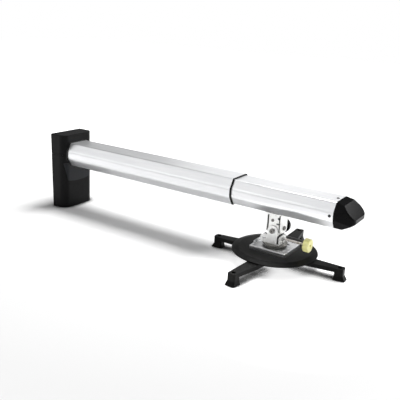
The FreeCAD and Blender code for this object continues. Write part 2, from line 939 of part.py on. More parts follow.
def cross_block():
    """Block between the two axes: a square sleeve with a fork below for the tilt nut."""
    body = new_body("cross_block")
    half_x = size("block_half_x")
    half_y = size("block_half_y")
    wall = size("block_wall")
    top = inner_foot - size("yoke_thick") - size("block_clear")
    foot = tilt_z - size("block_foot")
    plan = drawing(body, "XY", foot)
    box_outline(plan, head_x - half_x, head_x + half_x, -half_y, half_y)
    pad(body, plan, top - foot)
    ease(body, wall / 2, lambda edge: runs(edge, "z"))
    well = drawing(body, "XY", foot + wall)
    box_outline(well, head_x - half_x + wall, head_x + half_x - wall, -half_y + wall, half_y - wall)
    cut(body, well, top - foot, forward=True)
    inner = size("fork_inner")
    thick = size("fork_thick")
    reach = size("fork_half_x")
    fork_foot = rod_z - size("fork_below")
    fork = drawing(body, "XZ")
    outline(fork, [(head_x - reach, fork_foot), (head_x + reach, fork_foot),
                   (head_x + reach, foot + wall / 2), (head_x - reach, foot + wall / 2)])
    pad(body, fork, (inner + thick) * 2, both=True)
    gap = drawing(body, "XZ")
    box_outline(gap, head_x - reach - 1, head_x + reach + 1, fork_foot - 1, foot)
    cut(body, gap, inner * 2, both=True)
    slot = drawing(body, "XZ")
    pin = size("trunnion_pin") + size("trunnion_clear")
    box_outline(slot, head_x - pin, head_x + pin, fork_foot - 1, rod_z + pin + size("trunnion_clear"))
    cut(body, slot, (inner + thick) * 2 + 2, both=True)
    pins = drawing(body, "YZ", head_x)
    ring_outline(pins, 0, roll_z, size("roll_pin_radius"))
    cut(body, pins, half_x * 2 + 2, both=True)
    pivot = drawing(body, "XZ")
    ring_outline(pivot, head_x, tilt_z, size("tilt_pin_radius") + size("pin_clear"))
    cut(body, pivot, half_y * 2 + 2, both=True)
    notches = drawing(body, "XZ", -half_y)
    box_outline(notches, head_x + half_x - size("notch_in"), head_x + half_x + 1,
                top - size("notch_foot"), top - size("notch_top"))
    box_outline(notches, head_x + half_x - size("low_notch_in"), head_x + half_x + 1,
                top - size("low_notch_foot"), top - size("low_notch_top"))
    cut(body, notches, wall * 2.4)
    tie = drawing(body, "XZ")
    ring_outline(tie, tie_x, tie_z, size("tie_bolt_radius"))
    cut(body, tie, half_y * 2 + 2, both=True)
    return body


def roll_bolts():
    """Shoulder bolts that the roll axis turns on, one through each yoke ear."""
    radius = size("roll_pin_radius")
    things = []
    reach = size("yoke_half") - size("block_half_x") + size("block_wall")
    for hand, towards in ((-1, "+x"), (1, "-x")):
        one = screw(f"roll_bolt_{towards}", radius, reach, radius * 1.35, radius * 0.8)
        things.append(place(one, (head_x + size("yoke_half") * hand, 0, roll_z), towards))
    return group("roll_bolts", things)


def roll_spacers():
    """Nylon washers between the block and the yoke's ears."""
    inner = size("yoke_half") - size("yoke_thick")
    gap = inner - size("block_half_x") - 0.1
    things = []
    for hand, towards in ((-1, "-x"), (1, "+x")):
        one = washer(f"roll_spacer_{towards}", size("roll_pin_radius") + size("pin_clear"),
                     size("roll_pin_radius") * 1.9, gap)
        things.append(place(one, (head_x + size("block_half_x") * hand, 0, roll_z), towards))
    return group("roll_spacers", things)


def tie_bolt():
    """Small cross bolt high in the block."""
    radius = size("tie_bolt_radius")
    half = size("block_half_y")
    one = screw("tie_bolt", radius, half * 2 + radius, radius * 1.5, radius * 0.6)
    return place(one, (tie_x, -half, tie_z), "+y")


def tilt_bracket():
    """Folded steel bracket: base, two ears with lobes behind, and an end tab."""
    body = new_body("tilt_bracket")
    half = size("ear_half")
    front = size("yoke_half")
    thick = size("base_thick")
    lobe = size("lobe_radius")
    ears = drawing(body, "XZ")
    outline(ears, [(lobe_x, base_z), (head_x + half, base_z), (head_x + half, tilt_z),
                   (head_x - half, tilt_z), (head_x - half, rod_z + lobe), (lobe_x, rod_z + lobe)])
    pad(body, ears, ear_outer * 2, both=True)
    crown = drawing(body, "XZ")
    ring_outline(crown, head_x, tilt_z, half)
    pad(body, crown, ear_outer * 2, both=True)
    lobes = drawing(body, "XZ")
    ring_outline(lobes, lobe_x, rod_z, lobe)
    pad(body, lobes, ear_outer * 2, both=True)
    floor = drawing(body, "XY", base_z)
    box_outline(floor, lobe_x, head_x + front, -ear_outer, ear_outer)
    pad(body, floor, thick)
    hollow = drawing(body, "XZ")
    box_outline(hollow, lobe_x - lobe - 1, head_x + front + 1, base_z + thick, tilt_z + half + 1)
    cut(body, hollow, ear_inner * 2, both=True)
    tab = drawing(body, "YZ", head_x + front)
    across = size("yoke_ear_half")
    tab_top = base_z + size("end_tab_rise")
    box_outline(tab, -across, across, base_z + thick / 2, tab_top)
    pad(body, tab, size("yoke_thick"), back=True)
    ease(body, size("end_tab_corner"), lambda edge: runs(edge, "x") and near(middle(edge).z, tab_top))
    pivots = drawing(body, "XZ")
    ring_outline(pivots, head_x, tilt_z, size("tilt_pin_radius"))
    ring_outline(pivots, lobe_x, rod_z, size("cross_pin_radius"))
    cut(body, pivots, ear_outer * 2 + 2, both=True)
    rod = drawing(body, "YZ", head_x)
    ring_outline(rod, 0, rod_z, size("rod_radius") + size("rod_clear"))
    cut(body, rod, front * 2, forward=True)
    floor_holes = drawing(body, "XY", base_z)
    ring_outline(floor_holes, head_x, 0, size("swivel_radius"))
    for along, aside in rivet_points():
        ring_outline(floor_holes, along, aside, size("rivet_radius"))
    cut(body, floor_holes, thick * 3, both=True)
    return body


def four_points(along, across):
    """The corners of a rectangle about the head's centre, from its two half sizes."""
    return [(head_x + along * a, across * b) for a in (-1, 1) for b in (-1, 1)]


def rivet_points():
    return four_points(size("rivet_step"), size("rivet_step"))


def tray_screw_points():
    return four_points(size("tray_screw_x"), size("tray_screw_y"))


def swivel_plate():
    """Round plate riveted under the tilt bracket; it turns on the friction ring."""
    body = new_body("swivel_plate")
    face = drawing(body, "XY", turn_foot)
    ring_outline(face, head_x, 0, size("turn_radius"))
    ring_outline(face, head_x, 0, size("swivel_radius"))
    for along, aside in rivet_points():
        ring_outline(face, along, aside, size("rivet_radius"))
    pad(body, face, size("turn_thick"))
    rim = size("turn_radius") * 2 * math.pi
    ease(body, size("turn_thick") / 5, lambda edge: near(edge.Length, rim, 0.1), "Chamfer")
    return body


def swivel_rivets():
    radius = size("rivet_radius")
    top = base_z + size("base_thick")
    things = []
    for number, (along, aside) in enumerate(rivet_points()):
        one = screw(f"rivet_{number}", radius, size("base_thick") + size("turn_thick"),
                    radius * 1.8, radius * 0.5, socket=False)
        things.append(place(one, (along, aside, top), "-z"))
    return group("swivel_rivets", things)


def tilt_bolt():
    """Bolt of the tilt axis, fixed in the ears; the clamp knob runs on its end."""
    radius = size("tilt_pin_radius")
    head_y = ear_outer + size("washer_thick")
    one = screw("tilt_bolt", radius, head_y + lock_y + size("lock_thick") * 0.5, radius * 1.5,
                radius * 0.8)
    return place(one, (head_x, -head_y, tilt_z), "+y")


def tilt_washers():
    """Plain washers outside the ears and thin friction washers inside them."""
    radius = size("tilt_pin_radius")
    inner = size("ear_gap") - size("flat_clear")
    outer = size("washer_thick")
    spots = [(-ear_outer, "-y", radius * 1.9, outer), (ear_outer, "+y", radius * 1.9, outer),
             (-ear_inner, "+y", radius * 2.2, inner), (ear_inner, "-y", radius * 2.2, inner)]
    things = []
    for number, (across, towards, rim, thick) in enumerate(spots):
        one = washer(f"tilt_washer_{number}", radius, rim, thick)
        things.append(place(one, (head_x, across, tilt_z), towards))
    return group("tilt_washers", things)


def cross_pin():
    """Barrel pin across the lobes; the tail of the tilt screw turns in its bore."""
    body = new_body("cross_pin")
    radius = size("cross_pin_radius")
    barrel = drawing(body, "XZ")
    ring_outline(barrel, lobe_x, rod_z, radius)
    pad(body, barrel, ear_outer * 2 + 1, both=True)
    for hand in (-1, 1):
        slot = drawing(body, "XZ", (ear_outer - 0.5) * hand)
        half = size("cross_pin_slot") / 2
        box_outline(slot, lobe_x - radius, lobe_x + radius, rod_z - half, rod_z + half)
        cut(body, slot, radius, forward=hand < 0)
    bore = drawing(body, "YZ", lobe_x)
    ring_outline(bore, 0, rod_z, size("rod_radius") + size("rod_clear"))
    cut(body, bore, radius * 2 + 2, both=True)
    return body


def tilt_rod():
    """Threaded rod that turns in the end tab and in the cross pin."""
    body = new_body("tilt_rod")
    start = lobe_x - size("rod_tail")
    shaft = drawing(body, "YZ", start)
    ring_outline(shaft, 0, rod_z, size("rod_radius"))
    pad(body, shaft, head_x + size("knob_start") + size("knob_length") - size("knob_dish") - start)
    ease(body, size("rod_radius") / 5, lambda edge: not runs(edge, "x"), "Chamfer")
    return body


def rod_collars():
    """Two collars on the rod, one on each side of the end tab, and its end nut."""
    radius = size("rod_radius")
    out_face = head_x + size("yoke_half") + size("collar_clear")
    in_face = head_x + size("yoke_half") - size("yoke_thick") - size("collar_clear")
    end_face = lobe_x - size("cross_pin_radius") - size("collar_clear")
    outer = washer("outer_collar", radius, size("collar_radius"), size("collar_thick"))
    inner = washer("inner_collar", radius, size("collar_radius"), size("collar_thick"))
    end = nut("rod_nut", radius, size("collar_radius"), size("rod_nut_thick"))
    return group("rod_collars", [place(outer, (out_face, 0, rod_z), "+x"),
                                 place(inner, (in_face, 0, rod_z), "-x"),
                                 place(end, (end_face, 0, rod_z), "-x")])


def tilt_knob():
    """Yellow hand knob with six flutes on the end of the tilt screw."""
    body = new_body("tilt_knob")
    radius = size("knob_radius")
    length = size("knob_length")
    round_face = drawing(body, "YZ")
    ring_outline(round_face, 0, 0, radius)
    pad(body, round_face, length)
    rim = radius * 2 * math.pi
    ease(body, size("knob_edge"), lambda edge: near(edge.Length, rim, 0.1))
    flute = drawing(body, "YZ")
    flute_radius = size("knob_flute_radius")
    ring_outline(flute, 0, radius + flute_radius - size("knob_flute_depth"), flute_radius)
    first = cut(body, flute, length, forward=True)
    pattern = body.newObject("PartDesign::PolarPattern", "knob_flutes")
    pattern.Originals = [first]
    pattern.Axis = (flute, ["N_Axis"])
    pattern.Angle = 360
    pattern.Occurrences = 6
    body.Tip = pattern
    doc.recompute()
    dish = drawing(body, "YZ", length)
    ring_outline(dish, 0, 0, size("rod_radius") * 1.4)
    cut(body, dish, size("knob_dish"))
    bore = drawing(body, "YZ")
    ring_outline(bore, 0, 0, size("rod_radius"))
    cut(body, bore, length * 2 + 2, both=True)
    return place(body, (head_x + size("knob_start"), 0, rod_z))


def tilt_nut():
    """Barrel nut in the fork; the screw draws it along and so tilts the bracket."""
    body = new_body("tilt_nut")
    inner = size("fork_inner")
    barrel = drawing(body, "XZ")
    ring_outline(barrel, head_x, rod_z, size("trunnion_radius"))
    pad(body, barrel, inner * 2 - size("trunnion_clear") * 2, both=True)
    pins = drawing(body, "XZ")
    ring_outline(pins, head_x, rod_z, size("trunnion_pin"))
    pad(body, pins, (inner + size("fork_thick")) * 2, both=True)
    bore = drawing(body, "YZ", head_x)
    ring_outline(bore, 0, rod_z, size("rod_radius") + size("rod_clear"))
    cut(body, bore, size("trunnion_radius") * 2 + 2, both=True)
    return body


def lock_knob():
    """Black dished hand knob that clamps the tilt axis."""
    body = new_body("lock_knob")
    start = ear_outer + size("washer_thick") + size("collar_clear")
    hub = size("lock_hub_radius")
    inner = size("lock_radius") - size("lock_rim")
    front = lock_y + size("lock_thick")
    sunk = size("lock_sunk")
    bore = size("tilt_pin_radius") + size("pin_clear")
    bore_end = lock_y + size("lock_thick") * 0.6
    half = drawing(body, "XY")
    outline(half, [(bore, start), (hub, start), (hub, lock_y + sunk), (inner, lock_y + sunk),
                   (inner, front - sunk), (hub / 2, front), (0, front), (0, bore_end),
                   (bore, bore_end)])
    turn(body, half)
    return place(body, (head_x, 0, tilt_z))


def lock_rim():
    """Chromed ring round the clamp knob."""
    body = new_body("lock_rim")
    outer = size("lock_radius")
    inner = outer - size("lock_rim")
    front = lock_y + size("lock_thick")
    bevel = size("lock_rim") / 3
    half = drawing(body, "XY")
    outline(half, [(inner, lock_y), (outer - bevel, lock_y), (outer, lock_y + bevel),
                   (outer, front - bevel), (outer - bevel, front), (inner, front)])
    turn(body, half)
    return place(body, (head_x, 0, tilt_z))


def swivel_bolt():
    """Flat-headed bolt down through the swivel, fixed in the bracket's base."""
    top = base_z + size("base_thick")
    length = top - boss_foot + size("washer_thick") + size("swivel_nut_thick") + 2
    one = screw("swivel_bolt", size("swivel_radius"), length, size("swivel_head_radius"),
                size("swivel_head_thick"), socket=False)
    return place(one, (head_x, 0, top), "-z")


def swivel_nut():
    """Lock nut and washer under the disc."""
    flat = washer("swivel_washer", size("swivel_radius"), size("swivel_washer_radius"),
                  size("washer_thick"))
    lock = nut("swivel_lock", size("swivel_radius"), size("swivel_nut_radius"),
               size("swivel_nut_thick"))
    place(flat, (head_x, 0, boss_foot), "-z")
    place(lock, (head_x, 0, boss_foot - size("washer_thick")), "-z")
    return group("swivel_nut", [flat, lock])


def friction_ring():
    """Nylon ring between the turn plate and the slide tray."""
    body = new_body("friction_ring")
    face = drawing(body, "XY", tray_top)
    ring_outline(face, head_x, 0, size("ring_radius"))
    ring_outline(face, head_x, 0, size("swivel_radius") + size("pin_clear"))
    pad(body, face, size("ring_thick"))
    return body


def slide_tray():
    """Pressed plate on the disc, its edges folded down and one lip folded up."""
    body = new_body("slide_tray")
    half_x = size("tray_length") / 2
    half_y = size("tray_width") / 2
    wall = size("tray_thick")
    face = drawing(body, "XY", disc_top)
    box_outline(face, head_x - half_x, head_x + half_x, -half_y, half_y)
    pad(body, face, size("tray_high"))
    ease(body, size("tray_corner"), lambda edge: runs(edge, "z"))
    ease(body, size("tray_edge"), lambda edge: near(middle(edge).z, tray_top))
    hollow = drawing(body, "XY", disc_top)
    box_outline(hollow, head_x - half_x + wall, head_x + half_x - wall, -half_y + wall, half_y - wall)
    cut(body, hollow, size("tray_high") - wall, forward=True)
    lip_top = tray_top + size("tray_lip")
    lip = drawing(body, "YZ", head_x - half_x + size("tray_edge"))
    across = size("tray_lip_half")
    box_outline(lip, -across, across, tray_top - wall / 2, lip_top)
    pad(body, lip, wall)
    ease(body, wall, lambda edge: runs(edge, "x") and near(middle(edge).z, lip_top))
    slots = drawing(body, "YZ", head_x - half_x)
    for hand in (-1, 1):
        middle_y = size("lip_slot_across") * hand
        box_outline(slots, middle_y - size("lip_slot_half"), middle_y + size("lip_slot_half"),
                    tray_top + size("lip_slot_low"), tray_top + size("lip_slot_high"))
    cut(body, slots, wall * 3, forward=True)
    holes = drawing(body, "XY", tray_top)
    ring_outline(holes, head_x, 0, size("swivel_radius") + size("pin_clear"))
    ring_outline(holes, head_x + size("latch_hole_x"), size("latch_hole_y"),
                 size("latch_hole_radius"))
    cut(body, holes, wall * 2)
    return body


def tray_spacers():
    """Tapped bushes under the tray, welded to it."""
    high = size("tray_high") - size("tray_thick")
    things = []
    for number, (along, aside) in enumerate(tray_screw_points()):
        one = washer(f"tray_spacer_{number}", size("tray_screw_radius"),
                     size("tray_spacer_radius"), high)
        things.append(place(one, (along, aside, disc_top)))
    return group("tray_spacers", things)


def tray_screws():
    """Four screws up through the disc into the tray's bushes."""
    radius = size("tray_screw_radius")
    things = []
    for number, (along, aside) in enumerate(tray_screw_points()):
        one = screw(f"tray_screw_{number}", radius, size("disc_thick") + radius * 2.5, radius * 1.8,
                    radius * 0.9)
        things.append(place(one, (along, aside, disc_under)))
    return group("tray_screws", things)


def stud_points():
    """The four arm places on the disc: name, way out in degrees, along and across."""
    circle = size("stud_circle")
    return [("front", -90, head_x, -circle), ("outer", 0, head_x + circle, as_size(0)),
            ("back", 90, head_x, circle), ("wall", 180, head_x - circle, as_size(0))]


def disc():
    """Round plate with a sloping rim, and bosses under it for the arms and the swivel."""
    body = new_body("disc")
    outer = size("disc_radius")
    flat = size("disc_flat_radius")
    wall = size("disc_thick")
    slope = size("disc_slope")
    lip = size("disc_lip")
    hole = size("swivel_radius") + size("pin_clear")
    half = drawing(body, "XZ")
    outline(half, [(hole, -wall), (flat, -wall), (outer - wall, -slope - wall * 0.4),
                   (outer - wall, -slope - lip), (outer, -slope - lip), (outer, -slope),
                   (flat, 0), (hole, 0)])
    turn(body, half)
    rim = outer * 2 * math.pi
    ease(body, lip / 2, lambda edge: near(edge.Length, rim, 0.1) and near(middle(edge).z, -slope))
    drop = disc_under - boss_foot
    bosses = drawing(body, "XY", -wall)
    for _, _, along, aside in stud_points():
        ring_outline(bosses, along - head_x, aside, size("boss_radius"))
    ring_outline(bosses, 0, 0, size("boss_radius"))
    pad(body, bosses, drop, back=True)
    tapped = drawing(body, "XY", -wall - drop)
    for _, _, along, aside in stud_points():
        ring_outline(tapped, along - head_x, aside, size("stud_radius"))
    cut(body, tapped, drop + wall * 0.6, forward=True)
    holes = drawing(body, "XY")
    ring_outline(holes, 0, 0, hole)
    for along, aside in tray_screw_points():
        ring_outline(holes, along - head_x, aside, size("tray_screw_radius") + size("pin_clear"))
    cut(body, holes, wall + drop + 1)
    return place(body, (head_x, 0, disc_top))


def foot_outline(sketch, start, end, half):
    """A rounded rectangle along +X."""
    corner = size("foot_corner")
    outline(sketch, [(start + corner, -half), (end - corner, -half, corner, 1),
                     (end, -half + corner), (end, half - corner, corner, 1),
                     (end - corner, half), (start + corner, half, corner, 1),
                     (start, half - corner), (start, -half + corner, corner, 1)])


def slot_outline(sketch, start, end, half):
    """A slot along +X between two points, its ends rounded."""
    outline(sketch, [(start, -half), (end, -half, half, 1), (end + half, 0, half, 1),
                     (end, half), (start, half, half, 1), (start - half, 0, half, 1)])


def reach_arm(name, way, along, aside):
    """Cast arm: a tapered beam with a slot for its clamp screw, and a flared foot."""
    body = new_body(name + "_arm")
    tail = size("arm_tail")
    span = size("arm_span")
    thick = size("arm_thick")
    root_half = size("arm_root_half")
    tip_half = size("arm_tip_half")
    high = size("arm_high")
    corner = size("foot_corner")
    start = span - tip_half
    end = span + tip_half
    plan = drawing(body, "XY")
    outline(plan, [(-tail, -root_half), (size("arm_straight"), -root_half), (span, -tip_half),
                   (end, -tip_half), (end, tip_half), (span, tip_half),
                   (size("arm_straight"), root_half), (-tail, root_half)])
    pad(body, plan, thick, back=True)
    ease(body, size("arm_tail_radius"), lambda edge: runs(edge, "z") and near(middle(edge).x, -tail))
    ease(body, corner, lambda edge: runs(edge, "z") and near(middle(edge).x, end))
    flare_top = high - size("foot_flare_high")
    post = drawing(body, "XY", -(thick / 2))
    foot_outline(post, start, end, tip_half)
    pad(body, post, flare_top - thick / 2, back=True)
    upper = drawing(body, "XY", -flare_top)
    foot_outline(upper, start, end, tip_half)
    lower = drawing(body, "XY", -high)
    side = size("foot_flare_side")
    foot_outline(lower, start - side / 2, end + size("foot_flare_out"), tip_half + side)
    loft(body, [upper, lower])
    neck = size("arm_neck_radius")
    web = drawing(body, "XZ")
    outline(web, [(start, -thick - neck, neck, 1), (start - neck, -thick), (start - neck, -thick + 1),
                  (start + 1, -thick + 1), (start + 1, -thick - neck)])
    pad(body, web, (tip_half - corner) * 2, both=True)
    slot = drawing(body, "XY")
    slot_outline(slot, -size("slot_in"), size("slot_out"), size("slot_half"))
    cut(body, slot, thick + 1)
    bore = drawing(body, "XY")
    ring_outline(bore, span, 0, size("foot_hole_radius"))
    cut(body, bore, high + 1)
    counter = drawing(body, "XY")
    ring_outline(counter, span, 0, size("foot_bore_radius"))
    cut(body, counter, size("foot_bore_depth"))
    out = size(name + "_arm_out")
    turned = size(name + "_arm_turn") + way
    angle = math.radians(turned.value)
    body.Placement = FreeCAD.Placement(Vector(), Rotation(Vector(0, 0, 1), 1))
    body.setExpression("Placement.Rotation.Angle", f"{turned.text} * 1 deg")
    bind(body, "Placement.Base.x",
         along + out * Size(math.cos(angle), f"cos({turned.text} * 1 deg)"))
    bind(body, "Placement.Base.y",
         aside + out * Size(math.sin(angle), f"sin({turned.text} * 1 deg)"))
    bind(body, "Placement.Base.z", arm_top)
    return body


def arm_screw(name, way, along, aside):
    """Clamp screw of one arm, up into its boss, with a wide washer under the arm."""
    radius = size("stud_radius")
    seat = arm_top - size("arm_thick") - size("flat_clear")
    flat = washer(name + "_arm_washer", radius, size("stud_washer_radius"), size("washer_thick"))
    place(flat, (along, aside, seat), "-z")
    length = size("arm_thick") + size("washer_thick") + disc_under - boss_foot + radius / 2
    one = screw(name + "_arm_bolt", radius, length, radius * 1.7, radius * 0.8)
    place(one, (along, aside, seat - size("washer_thick")))
    return group(name + "_arm_screw", [flat, one])


def cover_section(body, level, grow, back=0):
    """The covers' rounded section at a height, grown outwards by some amount."""
    share = (as_size(level) - cover_foot) / size("cover_height")
    depth = size("cover_foot_depth") + grow + (
        size("cover_top_depth") - size("cover_foot_depth")) * share
    corner = size("cover_foot_corner") + grow + (
        size("cover_top_corner") - size("cover_foot_corner")) * share
    half = cover_half + grow
    sketch = drawing(body, "XY", level)
    outline(sketch, [(back, -half), (depth - corner, -half, corner, 1), (depth, -half + corner),
                     (depth, half - corner, corner, 1), (depth - corner, half), (back, half)])
    return sketch


def tube_opening(body, room):
    """Cut the way for the boom through the front, with some room round the collar."""
    sketch = section_drawing(body, -(size("collar_wall") + room), size("cover_foot_depth") * 0.7)
    cut(body, sketch, size("cover_top_depth"), forward=True)


def cover_shell(body):
    """The whole hollow form that both covers are cut from, open towards the wall."""
    wall = size("cover_wall")
    top = -cover_foot
    edge = size("cover_edge")
    part_way = edge * (1 - math.sqrt(0.5))
    steps = [(as_size(0), edge), (part_way, part_way), (edge, as_size(0))]
    lower = [cover_section(body, cover_foot + up, -inward) for up, inward in steps]
    upper = [cover_section(body, top - down, -inward) for down, inward in reversed(steps)]
    loft(body, lower + upper)
    loft(body, [cover_section(body, cover_foot + wall, -wall, -1),
                cover_section(body, top - wall, -wall, -1)], cutting=True)
    tube_opening(body, size("flat_clear"))


def cover_upper():
    """Moulded upper cover, hung on the plate by two hooks."""
    body = new_body("cover_upper")
    cover_shell(body)
    room = size("cover_top_depth") + 10
    below = drawing(body, "XZ")
    box_outline(below, -5, room, cover_foot - 5, rise)
    cut(body, below, cover_half * 2 + 10, both=True)
    hooks = drawing(body, "XY", plate_high / 2 + size("hook_clear"))
    for hand in (-1, 1):
        near_side = size("tab_width") / 2 * hand
        far_side = near_side + size("hook_width") * hand
        box_outline(hooks, size("hook_clear"), size("hook_reach"), near_side, far_side)
    pad(body, hooks, size("cover_height") / 2 - plate_high / 2 - size("cover_wall") / 2)
    return body


def cover_screw_places():
    return (-size("cover_screw_half"), size("cover_screw_half"))


def cover_lower():
    """Moulded lower cover, screwed from beneath to the plate's tab."""
    body = new_body("cover_lower")
    cover_shell(body)
    above = drawing(body, "XZ")
    room = size("cover_top_depth") + 10
    box_outline(above, -5, room, rise - size("seam_gap"), -cover_foot + 5)
    cut(body, above, cover_half * 2 + 10, both=True)
    radius = size("cover_screw_radius")
    tab_z = -(plate_high / 2)
    inside = cover_foot + size("cover_wall") / 2
    bosses = drawing(body, "XY", inside)
    holes = drawing(body, "XY", cover_foot)
    heads = drawing(body, "XY", cover_foot)
    for across in cover_screw_places():
        ring_outline(bosses, cover_screw_x, across, size("cover_boss_radius"))
        ring_outline(holes, cover_screw_x, across, radius + size("pin_clear"))
        ring_outline(heads, cover_screw_x, across, radius * 2 + size("pin_clear"))
    pad(body, bosses, tab_z - size("flat_clear") - inside)
    cut(body, holes, tab_z - cover_foot + 1, forward=True)
    cut(body, heads, radius * 1.2, forward=True)
    return body


def cover_screws():
    radius = size("cover_screw_radius")
    seat = cover_foot + radius * 1.2
    length = -(plate_high / 2) + size("plate_thick") / 2 - seat
    things = []
    for number, across in enumerate(cover_screw_places()):
        one = screw(f"cover_screw_{number}", radius, length, radius * 2, radius)
        things.append(place(one, (cover_screw_x, across, seat)))
    return group("cover_screws", things)


def tube_collar():
    """Soft black collar between the covers and the tube."""
    body = new_body("tube_collar")
    front = size("cover_top_depth") + size("collar_proud")
    ring = section_drawing(body, -size("collar_wall"), front)
    pad(body, ring, size("collar_depth"), back=True)
    round_section(body, -size("collar_wall"))
    bore = section_drawing(body, -size("bush_fit"), front + 1)
    cut(body, bore, size("collar_depth") + 2)
    return body


def front_bib():
    """Moulded bib on the lower cover's front, under and beside the tube."""
    body = new_body("front_bib")
    skin = size("bib_thick")
    gap = size("flat_clear") / 2
    top = rise - size("bib_top")
    foot = rise - size("bib_drop")
    loft(body, [cover_section(body, foot - 5, skin), cover_section(body, top, skin)])
    loft(body, [cover_section(body, foot - 6, gap), cover_section(body, top + 1, gap)], cutting=True)
    wide = size("bib_top_half")
    narrow = size("bib_foot_half")
    bow = size("bib_bow")
    bend = (narrow * narrow + bow * bow) / (bow * 2)
    around = drawing(body, "YZ", size("cover_top_depth") + 10)
    box_outline(around, -cover_half - 10, cover_half + 10, foot - 10, top + 10)
    outline(around, [(-wide, top + 5), (-narrow, foot + bow, bend, 1), (narrow, foot + bow),
                     (wide, top + 5)])
    cut(body, around, size("cover_top_depth") + 12)
    tube_opening(body, size("flat_clear") * 2)
    return body


NODES = (
    [wall_plate, boom_bracket, bracket_screws, boom_bolts, outer_tube, mouth_bush, cover_upper,
     cover_lower, cover_screws, tube_collar, front_bib]
    + [inner_tube, tail_glide, end_cap, cap_screws, nut_plate, head_screws, yoke]
    + [cross_block, roll_bolts, roll_spacers, tie_bolt]
    + [tilt_bracket, tilt_bolt, tilt_washers, cross_pin, swivel_plate, swivel_rivets, swivel_bolt,
       swivel_nut]
    + [tilt_rod, rod_collars, tilt_knob, tilt_nut, lock_knob, lock_rim]
    + [friction_ring, slide_tray, tray_spacers, tray_screws, disc]
)

nodes = [make() for make in NODES]
for spot in stud_points():
    nodes.append(reach_arm(*spot))
    nodes.append(arm_screw(*spot))
doc.recompute()

# Nothing is written until every object has built and every shape is sound
faults = [item.Name for item in doc.Objects if {"Invalid", "Error"} & set(item.State)]
for node in nodes:
    if node.Shape.isNull() or not node.Shape.isValid() or not node.Shape.Solids:
        faults.append(node.Label)
if faults:
    raise RuntimeError("Not sound: " + ", ".join(faults))

for node in nodes:
    node.Shape.exportStep(f"parts/{node.Label}.step")
    box = node.Shape.BoundBox
    print(f"{node.Label}: {len(node.Shape.Solids)} solids, {node.Shape.Volume:.0f} mm3, "
          f"x {box.XMin:.1f} to {box.XMax:.1f}, y {box.YMin:.1f} to {box.YMax:.1f}, "
          f"z {box.ZMin:.1f} to {box.ZMax:.1f}")
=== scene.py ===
import math

import bmesh
import bpy
from mathutils import Matrix, Vector


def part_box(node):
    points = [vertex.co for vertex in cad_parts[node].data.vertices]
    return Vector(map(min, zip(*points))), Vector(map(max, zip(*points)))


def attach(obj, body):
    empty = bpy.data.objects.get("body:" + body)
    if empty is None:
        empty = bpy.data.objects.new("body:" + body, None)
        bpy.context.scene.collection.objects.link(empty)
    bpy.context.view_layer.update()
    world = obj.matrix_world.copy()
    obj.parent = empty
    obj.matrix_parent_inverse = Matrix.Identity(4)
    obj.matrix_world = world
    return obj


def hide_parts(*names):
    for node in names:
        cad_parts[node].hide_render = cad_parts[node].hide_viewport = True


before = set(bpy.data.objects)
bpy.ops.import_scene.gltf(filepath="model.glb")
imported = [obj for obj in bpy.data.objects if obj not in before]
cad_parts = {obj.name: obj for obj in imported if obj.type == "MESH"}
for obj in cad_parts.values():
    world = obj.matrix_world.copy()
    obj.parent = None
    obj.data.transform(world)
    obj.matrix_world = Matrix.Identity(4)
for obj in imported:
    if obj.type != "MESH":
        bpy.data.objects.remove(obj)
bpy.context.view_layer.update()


# The studio: white paper under the product, lit air and two soft cards behind it that
# the tube's top reflects, and soft lamps. The camera stands where the photographer
# stood, low and to the right of the boom's end. None of this belongs to the product.
CAMERA_SPOT = Vector((1.2935, -1.1964, 0.4612))
CAMERA_TURN = math.radians(33.49)
CAMERA_DROP = math.radians(17.87)
CAMERA_ROLL = math.radians(2.55)
CAMERA_LENS = 51.15
CAMERA_SENSOR = 36
CAMERA_NEAR_END = 0.05

FLOOR_LEVEL = -0.1122
FLOOR_HALF = 8.0
PAPER_WHITE = 0.72
# Painted contact shadow: the paper's colour is darkened by ambient occlusion where
# something stands on it.
CONTACT_REACH = 0.034
CONTACT_RAYS = 8
CONTACT_CLOSED = 0.56
CONTACT_OPEN = 0.8
CONTACT_LIGHT_LEFT = 0.03
FAR_LIGHT_MIDDLE = (0.5, -0.1, FLOOR_LEVEL)
FAR_LIGHT_START = 0.55
FAR_LIGHT_FULL = 1.6
FAR_LIGHT = 0.95
# Painted light: the paper's own glow under the boom's end, which takes the boom's shadow
# away there.
END_GLOW_MIDDLE = (0.84, -0.12, FLOOR_LEVEL)
END_GLOW_EDGE = 0.32
END_GLOW_FULL = 0.17
END_GLOW = 0.8
AIR_LIGHT = 0.11

# Each lamp: its name, spot and aim, its size along and across the boom, and its watts.
LAMPS = [
    ("wide_overhead_box", (-0.75, -0.75, 2.1), (-0.75, -0.1, 0), 4.4, 1.5, 6),
    ("front_box", (-1.15, -1.6, 1.1), (-1.15, 0, 1.1), 3.6, 1.55, 20),
    ("key_box", (0.45, 0.72, 2.3), (0.45, 0, 0), 0.75, 0.9, 84),
    ("rear_card_right", (-0.58, 2.4, 0.83), (-0.58, 0, 0.83), 1.46, 0.95, 3.05),
    ("rear_card_left", (-2.15, 2.4, 0.83), (-2.15, 0, 0.83), 1.7, 0.95, 1.45),
    ("right_rear_strip", (2.2, 1.5, 0.55), (0.85, 0, 0), 0.5, 0.9, 5),
    ("right_fill", (2.4, -0.7, 0.8), (0.8, 0, -0.03), 0.9, 0.9, 3),
    ("nose_glint", (1.25, 1.05, 0.72), (0.92, 0, 0.06), 0.5, 0.5, 3.4),
]


